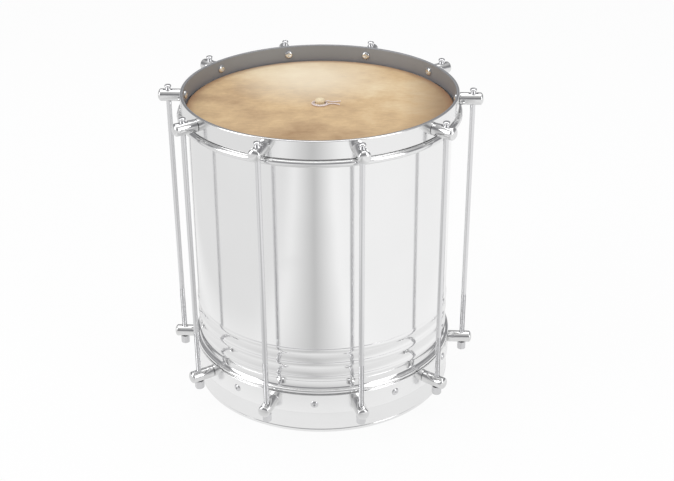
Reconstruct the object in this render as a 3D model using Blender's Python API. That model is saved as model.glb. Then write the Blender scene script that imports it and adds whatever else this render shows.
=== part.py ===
# A cuica: a Brazilian friction drum with a sheet metal shell, a goat skin and a cane stick.
# The drum stands on its open lower rim. Z is the axis of the drum, and the origin is the
# middle of the plane that it stands on. Lengths are in metres.

import math

import bmesh
import bpy
from mathutils import Matrix, Vector

# The free space left between pieces that touch, and round the rods in their holes
CLEARANCE = 0.0003

# Shell: one sheet cylinder with rolled beads, a wider skirt and a curled foot
SHELL_RADIUS = 0.1270
SHELL_WALL = 0.0012
SHELL_HEIGHT = 0.2885
HEM_HEIGHT = 0.0040
HEM_THICKNESS = 0.0026
HEM_ROUNDING = 0.0009
BEAD_COUNT = 3
BEAD_WIDTH = 0.0072
BEAD_RISE = 0.0013
BEAD_PITCH = 0.0150
LOWEST_BEAD_HEIGHT = 0.0597
SKIRT_STEP = 0.0027
SHOULDER_HEIGHT = 0.0464
SHOULDER_WIDTH = 0.0050
SHOULDER_RISE = 0.0016
CURL_HEIGHT = 0.0044
CURL_RISE = 0.0007

# Lower band, a flat strip round the skirt that carries the lower lugs
BAND_WIDTH = 0.0200
BAND_WALL = 0.0012

# Skin, from the nub in its middle to the flange that the flesh hoop holds
SKIN_THICKNESS = 0.0007
COLLAR_DROP = 0.0051
FLANGE_WIDTH = 0.0029
NUB_RADIUS = 0.0049
NUB_HEIGHT = 0.0060
NECK_RADIUS = 0.0039
NECK_HEIGHT = 0.0011

# Flesh hoop, the ring that holds the edge of the skin
FLESH_HOOP_HEIGHT = 0.0062
FLESH_HOOP_WIDTH = 0.0083
FLESH_HOOP_ROUNDING = 0.0012

# Counter hoop, the tall ring that presses the flesh hoop down
HOOP_WALL = 0.0030
HOOP_INSET = 0.0015
HOOP_HEIGHT = 0.0175
HOOP_EDGE = 0.0006

# Lugs: round bars, riveted through the hoop and through the band, with a hole for the rod
LUG_COUNT = 10
LUG_RADIUS = 0.0060
LUG_CHAMFER = 0.0009
LUG_END = 0.0100
LUG_DOME = 0.0028
LUG_SPOT_FACE = 0.0006
TENON_RADIUS = 0.0024
TENON_HEAD_RADIUS = 0.0043
TENON_HEAD_HEIGHT = 0.0022
LOWER_LUG_HEIGHT = 0.0333

# Tension rods
ROD_CIRCLE = 0.1458
ROD_RADIUS = 0.0025
ROD_NECK = 0.0016
ROD_HEAD_RADIUS = 0.0033
ROD_HEAD_HEIGHT = 0.0034
ROD_END_RECESS = 0.0015

# Hex nuts under the lower lugs
NUT_ACROSS_FLATS = 0.0082
NUT_HEIGHT = 0.0085
NUT_ROUNDING = 0.0015

# Blind rivets that hold the band to the skirt, midway between the lugs
RIVET_SHANK_RADIUS = 0.0019
RIVET_HEAD_RADIUS = 0.0038
RIVET_HEAD_HEIGHT = 0.0014
RIVET_TAIL_RADIUS = 0.0028
RIVET_TAIL_LENGTH = 0.0030

# Stick of cane, tied under the middle of the skin
STICK_RADIUS = 0.0038
STICK_LENGTH = 0.2450
STICK_HEAD_RADIUS = 0.0037
STICK_HEAD_HEIGHT = 0.0027
STICK_NECK_RADIUS = 0.0024
STICK_JOINT_RISE = 0.0006
STICK_JOINTS = (0.085, 0.175)

# Thread that ties the skin round the neck of the stick; its start is in degrees
THREAD_RADIUS = 0.0006
THREAD_TURN_GAP = 0.0005
THREAD_TURNS = 1.9
THREAD_START = 20
THREAD_TAIL = 0.0150

# Number of flat faces on round pieces
SIDES_PER_LUG = 5
RING_SIDES = SIDES_PER_LUG * LUG_COUNT
LUG_SIDES = 10
ROD_SIDES = 8
HOLE_SIDES = 8
RIVET_SIDES = 8
STICK_SIDES = 12
THREAD_STEPS_PER_TURN = 14

# A ring's flat faces lie a little inside its corners, and the lugs sit on the flats
FLAT = math.cos(math.pi / RING_SIDES)
LUG_STEP = 2 * math.pi / LUG_COUNT
HALF_FACE = math.pi / RING_SIDES

# Heights and radii that follow from the sizes above
SKIN_TOP = SHELL_HEIGHT + CLEARANCE + SKIN_THICKNESS
COLLAR_INNER = SHELL_RADIUS + CLEARANCE
COLLAR_OUTER = COLLAR_INNER + SKIN_THICKNESS
FLANGE_BOTTOM = SKIN_TOP - COLLAR_DROP
FLESH_HOOP_INNER = COLLAR_OUTER + CLEARANCE
FLESH_HOOP_OUTER = FLESH_HOOP_INNER + FLESH_HOOP_WIDTH
FLESH_HOOP_BOTTOM = FLANGE_BOTTOM + (SKIN_THICKNESS - FLESH_HOOP_HEIGHT) / 2
HOOP_BOTTOM = FLESH_HOOP_BOTTOM + FLESH_HOOP_HEIGHT + CLEARANCE
HOOP_TOP = HOOP_BOTTOM + HOOP_HEIGHT
HOOP_INNER = FLESH_HOOP_INNER + HOOP_INSET
HOOP_OUTER = HOOP_INNER + HOOP_WALL
SKIRT_RADIUS = SHELL_RADIUS + SKIRT_STEP
BAND_INNER = SKIRT_RADIUS + CLEARANCE
BAND_OUTER = BAND_INNER + BAND_WALL
UPPER_LUG_HEIGHT = HOOP_BOTTOM + HOOP_HEIGHT / 2
TENON_HOLE_RADIUS = TENON_RADIUS + CLEARANCE
ROD_HOLE_RADIUS = ROD_RADIUS + CLEARANCE
LUG_SEAT = LUG_RADIUS - LUG_SPOT_FACE
NUT_TOP = LOWER_LUG_HEIGHT - LUG_SEAT - CLEARANCE
ROD_BOTTOM = NUT_TOP - NUT_HEIGHT + ROD_END_RECESS
NECK_CENTRE = SKIN_TOP + NECK_HEIGHT


def clear_scene():
    for old in list(bpy.data.objects):
        bpy.data.objects.remove(old, do_unlink=True)


def make_material(name, colour, metallic, roughness):
    material = bpy.data.materials.new(name)
    material.use_nodes = True
    shader = material.node_tree.nodes["Principled BSDF"]
    shader.inputs["Base Color"].default_value = (*colour, 1.0)
    shader.inputs["Metallic"].default_value = metallic
    shader.inputs["Roughness"].default_value = roughness
    return material


def add_empty(name, location):
    empty = bpy.data.objects.new(name, None)
    empty.empty_display_size = 0.02
    empty.location = location
    bpy.context.scene.collection.objects.link(empty)
    return empty


def add_object(name, data, material, parent=None, location=(0, 0, 0), turn=0.0):
    """Places a mesh or a curve in the world and then hangs it on its parent."""
    piece = bpy.data.objects.new(name, data)
    if material:
        data.materials.clear()
        data.materials.append(material)
    bpy.context.scene.collection.objects.link(piece)
    piece.location = location
    piece.rotation_euler.z = turn
    if parent:
        piece.parent = parent
        piece.matrix_parent_inverse = Matrix.Translation(parent.location).inverted()
    return piece


def polar(radius, angle, height):
    return Vector((radius * math.cos(angle), radius * math.sin(angle), height))


def mesh_from(bm, name, smooth_below=40):
    """Turns a bmesh into a mesh with its faces pointing out and its round faces smooth."""
    bmesh.ops.recalc_face_normals(bm, faces=bm.faces)
    mesh = bpy.data.meshes.new(name)
    bm.to_mesh(mesh)
    bm.free()
    mesh.shade_smooth()
    mesh.set_sharp_from_angle(angle=math.radians(smooth_below))
    return mesh


def turned(name, profile, sides, first_angle=0.0, smooth_below=40):
    """Spins a closed profile of (radius, height) points round Z. Points on the axis merge."""
    bm = bmesh.new()
    points = [bm.verts.new(polar(r, first_angle, z)) for r, z in profile]
    edges = [bm.edges.new(pair) for pair in zip(points, points[1:])]
    on_the_axis = profile[0][0] == 0 and profile[-1][0] == 0
    if not on_the_axis:
        edges.append(bm.edges.new((points[-1], points[0])))
    bmesh.ops.spin(
        bm,
        geom=points + edges,
        axis=(0, 0, 1),
        cent=(0, 0, 0),
        angle=2 * math.pi,
        steps=sides,
        use_merge=True,
    )
    bmesh.ops.remove_doubles(bm, verts=bm.verts, dist=1e-6)
    return mesh_from(bm, name, smooth_below)


def ring(name, profile, smooth_below=40):
    """A large ring whose flat faces look at the lugs."""
    return turned(name, profile, RING_SIDES, HALF_FACE, smooth_below)


def lying_along_x(mesh):
    """Lays a mesh that was made round Z along X, with its top pointing to +X."""
    mesh.transform(Matrix.Rotation(math.radians(90), 4, "Y"))
    return mesh


def add_bar(bm, radius, length, sides, place=Matrix.Identity(4)):
    """Adds a bar along the place's Z whose flat faces, not its corners, lie at the radius."""
    corner = radius / math.cos(math.pi / sides)
    bmesh.ops.create_cone(
        bm,
        cap_ends=True,
        segments=sides,
        radius1=corner,
        radius2=corner,
        depth=length,
        matrix=place @ Matrix.Rotation(math.pi / sides, 4, "Z"),
    )


def radial_drills(name, holes):
    """Hidden cutters: for each (radius, height, first angle) a bar at every lug step."""
    bm = bmesh.new()
    lying_down = Matrix.Rotation(math.radians(90), 4, "Y")
    for radius, height, first in holes:
        for k in range(LUG_COUNT):
            angle = first + k * LUG_STEP
            middle = Matrix.Translation(polar(SHELL_RADIUS, angle, height))
            place = middle @ Matrix.Rotation(angle, 4, "Z") @ lying_down
            add_bar(bm, radius, 0.3 * SHELL_RADIUS, HOLE_SIDES, place)
    return hidden_cutter(name, bm)


def hidden_cutter(name, bm):
    cutter = add_object(name, mesh_from(bm, name), None)
    cutter.hide_render = True
    cutter.display_type = "WIRE"
    return cutter


def cut(piece, cutter):
    modifier = piece.modifiers.new(cutter.name, "BOOLEAN")
    modifier.operation = "DIFFERENCE"
    modifier.solver = "EXACT"
    modifier.object = cutter


def drilled(mesh, *drills):
    """The mesh with the drills taken out of it, ready to be shared by several objects."""
    cutters = [hidden_cutter("drill", drill) for drill in drills]
    blank = add_object("blank", mesh, None)
    for cutter in cutters:
        cut(blank, cutter)
    graph = bpy.context.evaluated_depsgraph_get()
    finished = bpy.data.meshes.new_from_object(blank.evaluated_get(graph))
    finished.name = mesh.name
    for helper in (blank, *cutters):
        bpy.data.objects.remove(helper)
    finished.shade_smooth()
    finished.set_sharp_from_angle(angle=math.radians(40))
    return finished


def shell_profile():
    """Down the outside from the hem, round the curled foot, and up the inside."""
    inner = SHELL_RADIUS - SHELL_WALL
    skirt_inner = SKIRT_RADIUS - SHELL_WALL
    hem_inner = SHELL_RADIUS - HEM_THICKNESS
    foot_inner = SKIRT_RADIUS - CURL_HEIGHT / 2
    shoulder_top = SHOULDER_HEIGHT + SHOULDER_WIDTH / 2
    shoulder_foot = SHOULDER_HEIGHT - SHOULDER_WIDTH / 2
    outer_beads = bead_points(SHELL_RADIUS, (1, 0.5, 0, -0.5, -1))
    shoulder = [
        (SHELL_RADIUS, shoulder_top + SHELL_WALL),
        (SKIRT_RADIUS - SHELL_WALL / 2, shoulder_top),
        (SKIRT_RADIUS + SHOULDER_RISE, SHOULDER_HEIGHT),
        (SKIRT_RADIUS, shoulder_foot),
    ]
    curl = [
        (SKIRT_RADIUS, CURL_HEIGHT),
        (SKIRT_RADIUS + CURL_RISE, CURL_HEIGHT * 0.6),
        (SKIRT_RADIUS + CURL_RISE * 0.8, CURL_HEIGHT * 0.2),
        (SKIRT_RADIUS, 0),
        (foot_inner + CURL_HEIGHT / 8, 0),
        (foot_inner, CURL_HEIGHT / 4),
        (foot_inner, CURL_HEIGHT * 0.8),
    ]
    skirt_inside = [
        (skirt_inner, CURL_HEIGHT + SHELL_WALL),
        (skirt_inner, shoulder_foot),
        (skirt_inner, SHOULDER_HEIGHT),
        (inner, shoulder_top),
    ]
    inner_beads = bead_points(inner, (1, 0, -1))
    inner_beads.reverse()
    hem = [
        (inner, SHELL_HEIGHT - HEM_HEIGHT - SHELL_WALL),
        (hem_inner, SHELL_HEIGHT - HEM_HEIGHT),
        (hem_inner, SHELL_HEIGHT - HEM_ROUNDING),
        (hem_inner + HEM_ROUNDING, SHELL_HEIGHT),
        (SHELL_RADIUS - HEM_ROUNDING, SHELL_HEIGHT),
        (SHELL_RADIUS, SHELL_HEIGHT - HEM_ROUNDING),
    ]
    return outer_beads + shoulder + curl + skirt_inside + inner_beads + hem


def bead_points(radius, stations):
    """The rolled beads, top to bottom. A station of 1 is a bead's top edge, -1 its lower."""
    points = []
    for k in reversed(range(BEAD_COUNT)):
        middle = LOWEST_BEAD_HEIGHT + k * BEAD_PITCH
        for station in stations:
            rise = BEAD_RISE * (1 - station**2)
            points.append((radius + rise, middle + station * BEAD_WIDTH / 2))
    return points


def skin_profile():
    """From the top of the nub out to the flange, and back below to the pocket of the stick."""
    t = SKIN_THICKNESS
    top = SKIN_TOP
    under = SKIN_TOP - t
    above = [
        (0, top + NUB_HEIGHT),
        (NUB_RADIUS * 0.72, top + NUB_HEIGHT * 0.88),
        (NUB_RADIUS, top + NUB_HEIGHT * 0.52),
        (NECK_RADIUS, top + NECK_HEIGHT),
        (NECK_RADIUS + t / 2, top),
        (SHELL_RADIUS - t, top),
        (COLLAR_OUTER, top - 2 * t),
        (COLLAR_OUTER, FLANGE_BOTTOM + t),
        (COLLAR_OUTER + FLANGE_WIDTH, FLANGE_BOTTOM + t),
        (COLLAR_OUTER + FLANGE_WIDTH, FLANGE_BOTTOM),
    ]
    below = [
        (COLLAR_INNER, FLANGE_BOTTOM),
        (COLLAR_INNER, SHELL_HEIGHT - HEM_ROUNDING + CLEARANCE / 2),
        (SHELL_RADIUS - HEM_ROUNDING + CLEARANCE / 2, under),
        (NECK_RADIUS + t / 2, under),
        (NECK_RADIUS - t, top + NECK_HEIGHT * 0.6),
        (NECK_RADIUS - t, top + NECK_HEIGHT + t),
        (NUB_RADIUS - t, top + NUB_HEIGHT * 0.5),
        (NUB_RADIUS * 0.66 - t / 2, top + NUB_HEIGHT * 0.88 - t),
        (0, top + NUB_HEIGHT - t),
    ]
    return above + below


def flesh_hoop_profile():
    """A rounded ring with a slot in its inner face, where the flange of the skin is held."""
    low = FLESH_HOOP_BOTTOM
    high = low + FLESH_HOOP_HEIGHT
    middle = low + FLESH_HOOP_HEIGHT / 2
    edge = FLESH_HOOP_ROUNDING
    slot_bottom = FLANGE_BOTTOM - CLEARANCE
    slot_top = FLANGE_BOTTOM + SKIN_THICKNESS + CLEARANCE
    slot_end = COLLAR_OUTER + FLANGE_WIDTH + CLEARANCE
    return [
        (FLESH_HOOP_INNER + edge / 2, high),
        (FLESH_HOOP_OUTER - edge * 1.6, high),
        (FLESH_HOOP_OUTER - edge * 0.4, high - edge),
        (FLESH_HOOP_OUTER, middle),
        (FLESH_HOOP_OUTER - edge * 0.4, low + edge),
        (FLESH_HOOP_OUTER - edge * 1.6, low),
        (FLESH_HOOP_INNER + edge / 2, low),
        (FLESH_HOOP_INNER, low + edge / 2),
        (FLESH_HOOP_INNER, slot_bottom),
        (slot_end, slot_bottom),
        (slot_end, slot_top),
        (FLESH_HOOP_INNER, slot_top),
        (FLESH_HOOP_INNER, high - edge / 2),
    ]


def hoop_profile():
    """A tall flat ring with its four edges broken."""
    edge = HOOP_EDGE
    return [
        (HOOP_INNER, HOOP_TOP - edge),
        (HOOP_INNER + edge, HOOP_TOP),
        (HOOP_OUTER - edge, HOOP_TOP),
        (HOOP_OUTER, HOOP_TOP - edge),
        (HOOP_OUTER, HOOP_BOTTOM + edge),
        (HOOP_OUTER - edge, HOOP_BOTTOM),
        (HOOP_INNER + edge, HOOP_BOTTOM),
        (HOOP_INNER, HOOP_BOTTOM + edge),
    ]


def band_profile():
    low = LOWER_LUG_HEIGHT - BAND_WIDTH / 2
    high = LOWER_LUG_HEIGHT + BAND_WIDTH / 2
    return [(BAND_INNER, high), (BAND_OUTER, high), (BAND_OUTER, low), (BAND_INNER, low)]


def lug_mesh(name, shoulder, wall, seat_side):
    """A lug round X with the rod's hole at its origin. Its shoulder is at -shoulder, and its
    tenon goes through the wall to a riveted head. seat_side is +1 for a seat on top."""
    head_start = -shoulder - wall - CLEARANCE
    profile = [
        (0, LUG_END),
        (LUG_RADIUS * 0.62, LUG_END - LUG_DOME * 0.28),
        (LUG_RADIUS, LUG_END - LUG_DOME),
        (LUG_RADIUS, -shoulder + LUG_CHAMFER),
        (LUG_RADIUS - LUG_CHAMFER, -shoulder),
        (TENON_RADIUS, -shoulder),
        (TENON_RADIUS, head_start),
        (TENON_HEAD_RADIUS, head_start),
        (TENON_HEAD_RADIUS * 0.7, head_start - TENON_HEAD_HEIGHT * 0.75),
        (0, head_start - TENON_HEAD_HEIGHT),
    ]
    bar = lying_along_x(turned(name, profile, LUG_SIDES, math.pi / LUG_SIDES))
    hole = bmesh.new()
    add_bar(hole, ROD_HOLE_RADIUS, 4 * LUG_RADIUS, HOLE_SIDES)
    # the seat is milled a little into the round bar, wider than what turns or rests on it
    seat = bmesh.new()
    seat_radius = NUT_ACROSS_FLATS / 2 / math.cos(math.pi / 6) + CLEARANCE
    seat_middle = Matrix.Translation((0, 0, seat_side * (LUG_SEAT + LUG_RADIUS / 2)))
    add_bar(seat, seat_radius, LUG_RADIUS, HOLE_SIDES, seat_middle)
    return drilled(bar, hole, seat)


def rod_mesh():
    """A tension rod with its origin at the upper lug: a knob head on a short neck, and a
    straight shank down into the nut."""
    seat = LUG_SEAT + CLEARANCE
    knob = seat + ROD_NECK
    profile = [
        (0, knob + ROD_HEAD_HEIGHT),
        (ROD_HEAD_RADIUS * 0.62, knob + ROD_HEAD_HEIGHT * 0.9),
        (ROD_HEAD_RADIUS, knob + ROD_HEAD_HEIGHT * 0.55),
        (ROD_HEAD_RADIUS * 0.9, knob + ROD_HEAD_HEIGHT * 0.12),
        (ROD_RADIUS, knob),
        (ROD_HEAD_RADIUS * 1.15, seat),
        (ROD_RADIUS, seat),
        (ROD_RADIUS, ROD_BOTTOM + ROD_RADIUS / 5 - UPPER_LUG_HEIGHT),
        (ROD_RADIUS * 0.8, ROD_BOTTOM - UPPER_LUG_HEIGHT),
        (0, ROD_BOTTOM - UPPER_LUG_HEIGHT),
    ]
    return turned("tension_rod", profile, ROD_SIDES, math.pi / ROD_SIDES)


def nut_mesh():
    """A hex nut with its origin at the middle of its upper face and its lower corners round."""
    corner = NUT_ACROSS_FLATS / 2 / math.cos(math.pi / 6)
    low = -NUT_HEIGHT
    profile = [
        (0, 0),
        (corner - NUT_ROUNDING / 3, 0),
        (corner, -NUT_ROUNDING / 3),
        (corner, low + NUT_ROUNDING),
        (corner - NUT_ROUNDING, low),
        (0, low),
    ]
    bore = bmesh.new()
    add_bar(bore, ROD_HOLE_RADIUS, 4 * NUT_HEIGHT, HOLE_SIDES)
    return drilled(turned("hex_nut", profile, 6), bore)


def rivet_mesh():
    """A blind rivet round X: its head on the band at the origin, its tail inside the skirt."""
    wall = CLEARANCE + BAND_WALL + CLEARANCE + SHELL_WALL + CLEARANCE
    profile = [
        (0, RIVET_HEAD_HEIGHT * 0.75),
        (RIVET_HEAD_RADIUS * 0.28, RIVET_HEAD_HEIGHT),
        (RIVET_HEAD_RADIUS * 0.75, RIVET_HEAD_HEIGHT * 0.7),
        (RIVET_HEAD_RADIUS, 0),
        (RIVET_SHANK_RADIUS, 0),
        (RIVET_SHANK_RADIUS, -wall),
        (RIVET_TAIL_RADIUS, -wall - RIVET_TAIL_LENGTH * 0.35),
        (RIVET_SHANK_RADIUS, -wall - RIVET_TAIL_LENGTH),
        (0, -wall - RIVET_TAIL_LENGTH),
    ]
    return lying_along_x(turned("rivet", profile, RIVET_SIDES))


def stick_profile():
    """A cane stick hanging from its head, with its origin at the neck that the thread grips."""
    shoulder = SKIN_TOP - SKIN_THICKNESS - CLEARANCE - NECK_CENTRE
    foot = shoulder - STICK_LENGTH
    gap = CLEARANCE
    head = NUB_HEIGHT * 0.5 - NECK_HEIGHT
    points = [
        (0, head + STICK_HEAD_HEIGHT * 0.62),
        (STICK_HEAD_RADIUS * 0.62, head + STICK_HEAD_HEIGHT * 0.36),
        (STICK_HEAD_RADIUS, head - gap),
        (STICK_NECK_RADIUS, SKIN_THICKNESS + gap),
        (STICK_NECK_RADIUS, shoulder + gap),
        (STICK_RADIUS - gap, shoulder),
        (STICK_RADIUS, shoulder - 2 * gap),
    ]
    for drop in STICK_JOINTS:
        z = shoulder - drop
        points.append((STICK_RADIUS, z + 2 * STICK_JOINT_RISE))
        points.append((STICK_RADIUS + STICK_JOINT_RISE, z + STICK_JOINT_RISE))
        points.append((STICK_RADIUS - STICK_JOINT_RISE / 2, z))
        points.append((STICK_RADIUS, z - STICK_JOINT_RISE))
    points.append((STICK_RADIUS, foot + 2 * gap))
    points.append((STICK_RADIUS - 2 * gap, foot))
    points.append((0, foot))
    return points


def thread_route():
    """A tail, two flat turns round the neck that open outwards, and the other tail."""
    height = SKIN_TOP + CLEARANCE + THREAD_RADIUS - NECK_CENTRE
    first_radius = NECK_RADIUS + 2 * CLEARANCE + THREAD_RADIUS
    pitch = 2 * THREAD_RADIUS + THREAD_TURN_GAP
    start = math.radians(THREAD_START)
    steps = int(THREAD_STEPS_PER_TURN * THREAD_TURNS)
    inner_end = polar(first_radius, start, height)
    away = Vector((1.0, 0.18, 0))
    # the inner tail climbs over the outer turn and comes down beyond it
    route = [
        inner_end + away * THREAD_TAIL,
        inner_end + away * THREAD_TAIL * 0.72,
        inner_end + away * 2.6 * pitch + Vector((0, 0, 0.5 * pitch)),
        inner_end + away * 1.6 * pitch + Vector((0, 0, pitch)),
        inner_end + away * 0.7 * pitch + Vector((0, 0, 0.8 * pitch)),
    ]
    for i in range(steps + 1):
        turns = THREAD_TURNS * i / steps
        route.append(polar(first_radius + pitch * turns, start + 2 * math.pi * turns, height))
    outer_end = route[-1]
    route.append(outer_end + Vector((0.35, 0.12, 0)) * THREAD_TAIL)
    route.append(outer_end + Vector((0.75, -0.06, 0)) * THREAD_TAIL)
    return route


def thread_curve():
    curve = bpy.data.curves.new("tie_thread", "CURVE")
    curve.dimensions = "3D"
    curve.bevel_depth = THREAD_RADIUS
    curve.bevel_resolution = 1
    curve.use_fill_caps = True
    route = thread_route()
    spline = curve.splines.new("POLY")
    spline.points.add(len(route) - 1)
    for point, place in zip(spline.points, route):
        point.co = (*place, 1.0)
    return curve


def build_shell(metal, parent):
    shell = add_object("shell", ring("shell", shell_profile()), metal, parent)
    band = add_object("lower_band", ring("lower_band", band_profile()), metal, parent)
    rivet_hole = RIVET_SHANK_RADIUS + CLEARANCE
    drills = radial_drills(
        "lower_drills",
        [
            (TENON_HOLE_RADIUS, LOWER_LUG_HEIGHT, 0.0),
            (rivet_hole, LOWER_LUG_HEIGHT, LUG_STEP / 2),
        ],
    )
    cut(shell, drills)
    cut(band, drills)


def build_hoops(chrome, metal, parent):
    hoop = add_object("counter_hoop", ring("counter_hoop", hoop_profile()), chrome, parent)
    cut(hoop, radial_drills("hoop_drills", [(TENON_HOLE_RADIUS, UPPER_LUG_HEIGHT, 0.0)]))
    add_object("flesh_hoop", ring("flesh_hoop", flesh_hoop_profile()), metal, parent)


def build_lugs(chrome, shell_parent, hoop_parent):
    upper_shoulder = ROD_CIRCLE - HOOP_OUTER * FLAT - CLEARANCE
    lower_shoulder = ROD_CIRCLE - BAND_OUTER * FLAT - CLEARANCE
    hoop_wall = HOOP_WALL * FLAT + CLEARANCE
    band_wall = (BAND_OUTER - SKIRT_RADIUS + SHELL_WALL) * FLAT + CLEARANCE
    upper = lug_mesh("upper_lug", upper_shoulder, hoop_wall, 1)
    lower = lug_mesh("lower_lug", lower_shoulder, band_wall, -1)
    for k in range(LUG_COUNT):
        angle = k * LUG_STEP
        add_object(
            f"upper_lug_{k + 1:02d}",
            upper,
            chrome,
            hoop_parent,
            polar(ROD_CIRCLE, angle, UPPER_LUG_HEIGHT),
            angle,
        )
        add_object(
            f"lower_lug_{k + 1:02d}",
            lower,
            chrome,
            shell_parent,
            polar(ROD_CIRCLE, angle, LOWER_LUG_HEIGHT),
            angle,
        )


def build_rods_and_nuts(chrome, zinc, hoop_parent):
    rod = rod_mesh()
    nut = nut_mesh()
    for k in range(LUG_COUNT):
        angle = k * LUG_STEP
        add_object(
            f"tension_rod_{k + 1:02d}",
            rod,
            chrome,
            hoop_parent,
            polar(ROD_CIRCLE, angle, UPPER_LUG_HEIGHT),
            angle,
        )
        add_object(
            f"hex_nut_{k + 1:02d}", nut, zinc, None, polar(ROD_CIRCLE, angle, NUT_TOP), angle
        )


def build_rivets(zinc, parent):
    rivet = rivet_mesh()
    # a rivet sits on a corner of the band, where its face is a whole radius out
    seat = BAND_OUTER + CLEARANCE
    for k in range(LUG_COUNT):
        angle = (k + 0.5) * LUG_STEP
        add_object(
            f"band_rivet_{k + 1:02d}",
            rivet,
            zinc,
            parent,
            polar(seat, angle, LOWER_LUG_HEIGHT),
            angle,
        )


def build_skin_and_stick(hide, cane, cotton, shell_parent, neck_parent):
    add_object("skin", ring("skin", skin_profile()), hide, shell_parent)
    stick = turned("stick", stick_profile(), STICK_SIDES)
    add_object("stick", stick, cane, neck_parent, (0, 0, NECK_CENTRE))
    add_object("tie_thread", thread_curve(), cotton, neck_parent, (0, 0, NECK_CENTRE))


def main():
    clear_scene()
    steel = make_material("polished_shell", (0.80, 0.80, 0.81), 1.0, 0.12)
    chrome = make_material("chrome", (0.85, 0.85, 0.86), 1.0, 0.08)
    zinc = make_material("zinc", (0.72, 0.72, 0.73), 1.0, 0.25)
    hide = make_material("goat_skin", (0.72, 0.52, 0.32), 0.0, 0.55)
    cane = make_material("cane", (0.70, 0.56, 0.33), 0.0, 0.5)
    cotton = make_material("waxed_thread", (0.90, 0.87, 0.82), 0.0, 0.6)
    body = add_empty("drum_body", (0, 0, 0))
    head = add_empty("tension_head", (0, 0, HOOP_BOTTOM))
    neck = add_empty("stick_neck", (0, 0, NECK_CENTRE))
    build_shell(steel, body)
    build_hoops(chrome, steel, head)
    build_lugs(chrome, body, head)
    build_rods_and_nuts(chrome, zinc, head)
    build_rivets(zinc, body)
    build_skin_and_stick(hide, cane, cotton, body, neck)


main()
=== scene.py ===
# %% [markdown]
# A cuica is a friction drum: a cane stick hangs from the middle of its skin, and the player
# rubs it with a wet cloth. The imported CAD model is the frame, and gives every piece its place.
# It could be rendered as it is, but its round pieces are many-sided. So each one is made again
# here with finer curves, painted with procedural materials, and all but the skin ride on the body
# they belong to.

# %% Load the frame
import math

import bpy
from mathutils import Matrix, Vector, noise


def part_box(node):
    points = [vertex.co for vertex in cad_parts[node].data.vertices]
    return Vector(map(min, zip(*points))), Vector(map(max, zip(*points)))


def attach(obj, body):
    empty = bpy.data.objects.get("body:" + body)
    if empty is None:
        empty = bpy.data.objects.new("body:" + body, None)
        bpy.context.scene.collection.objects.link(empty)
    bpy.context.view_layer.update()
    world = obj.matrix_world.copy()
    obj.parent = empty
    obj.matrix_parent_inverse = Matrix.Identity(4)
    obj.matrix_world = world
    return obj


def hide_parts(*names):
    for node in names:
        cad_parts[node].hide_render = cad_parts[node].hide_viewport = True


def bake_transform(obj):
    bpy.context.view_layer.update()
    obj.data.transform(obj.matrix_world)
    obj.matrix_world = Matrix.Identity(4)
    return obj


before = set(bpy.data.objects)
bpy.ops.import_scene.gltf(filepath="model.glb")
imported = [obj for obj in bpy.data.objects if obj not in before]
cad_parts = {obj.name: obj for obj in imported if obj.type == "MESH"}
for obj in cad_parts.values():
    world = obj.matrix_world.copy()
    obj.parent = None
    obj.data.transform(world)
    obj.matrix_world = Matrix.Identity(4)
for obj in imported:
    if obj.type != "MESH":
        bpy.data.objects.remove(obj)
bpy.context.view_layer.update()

# %% [markdown]
# The photograph was taken from in front and above, at about 27 degrees, with a fairly long lens.
# A camera could be aimed by eye. This one is worked out: its place, pitch and lens were fitted to
# the ellipses of the hoop and the foot, so that the drum fills the same part of the picture.

# %% Camera
VIEW_TURN = math.radians(3.0)
CAMERA_PLACE = Vector((0.0156, -1.107, 0.7087))
CAMERA_PITCH = math.radians(90 - 27.09)
CAMERA_ROLL = math.radians(-0.31)
SENSOR_WIDTH = 36.0
FOCAL_SHARE = 1228.25 / 674
NEAREST_SEEN = 0.05


def make_camera():
    data = bpy.data.cameras.new("photo_camera")
    data.sensor_width = SENSOR_WIDTH
    data.lens = SENSOR_WIDTH * FOCAL_SHARE
    data.clip_start = NEAREST_SEEN
    camera = bpy.data.objects.new("photo_camera", data)
    bpy.context.scene.collection.objects.link(camera)
    turn_round = Matrix.Rotation(VIEW_TURN, 4, "Z")
    tilt = Matrix.Rotation(CAMERA_PITCH, 4, "X") @ Matrix.Rotation(CAMERA_ROLL, 4, "Z")
    camera.matrix_world = turn_round @ Matrix.Translation(CAMERA_PLACE) @ tilt
    bpy.context.scene.camera = camera
    print("camera lens", round(data.lens, 2), "mm")


make_camera()

# %% [markdown]
# Every turned piece of the drum is made on a lathe or rolled from sheet, so its section is what
# matters. An outline could be spun with the Screw modifier. Here it is drawn as one vertex that
# is extruded from point to point and spun in edit mode, which leaves a plain mesh.

# %% Lathe
MM = 0.001
SAME_POINT = 2e-6
SMOOTH_BELOW = math.radians(32)


def first_point(name, point):
    """A new object in edit mode whose mesh is a single selected vertex."""
    bpy.ops.object.select_all(action="DESELECT")
    bpy.ops.mesh.primitive_plane_add(size=0.01)
    piece = bpy.context.object
    piece.name = name
    piece.data.name = name
    bpy.ops.object.mode_set(mode="EDIT")
    bpy.ops.mesh.merge(type="CENTER")
    bpy.ops.transform.translate(value=point)
    return piece


def smooth(piece):
    bpy.ops.object.select_all(action="DESELECT")
    piece.select_set(True)
    bpy.context.view_layer.objects.active = piece
    bpy.ops.object.shade_smooth_by_angle(angle=SMOOTH_BELOW)


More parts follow.
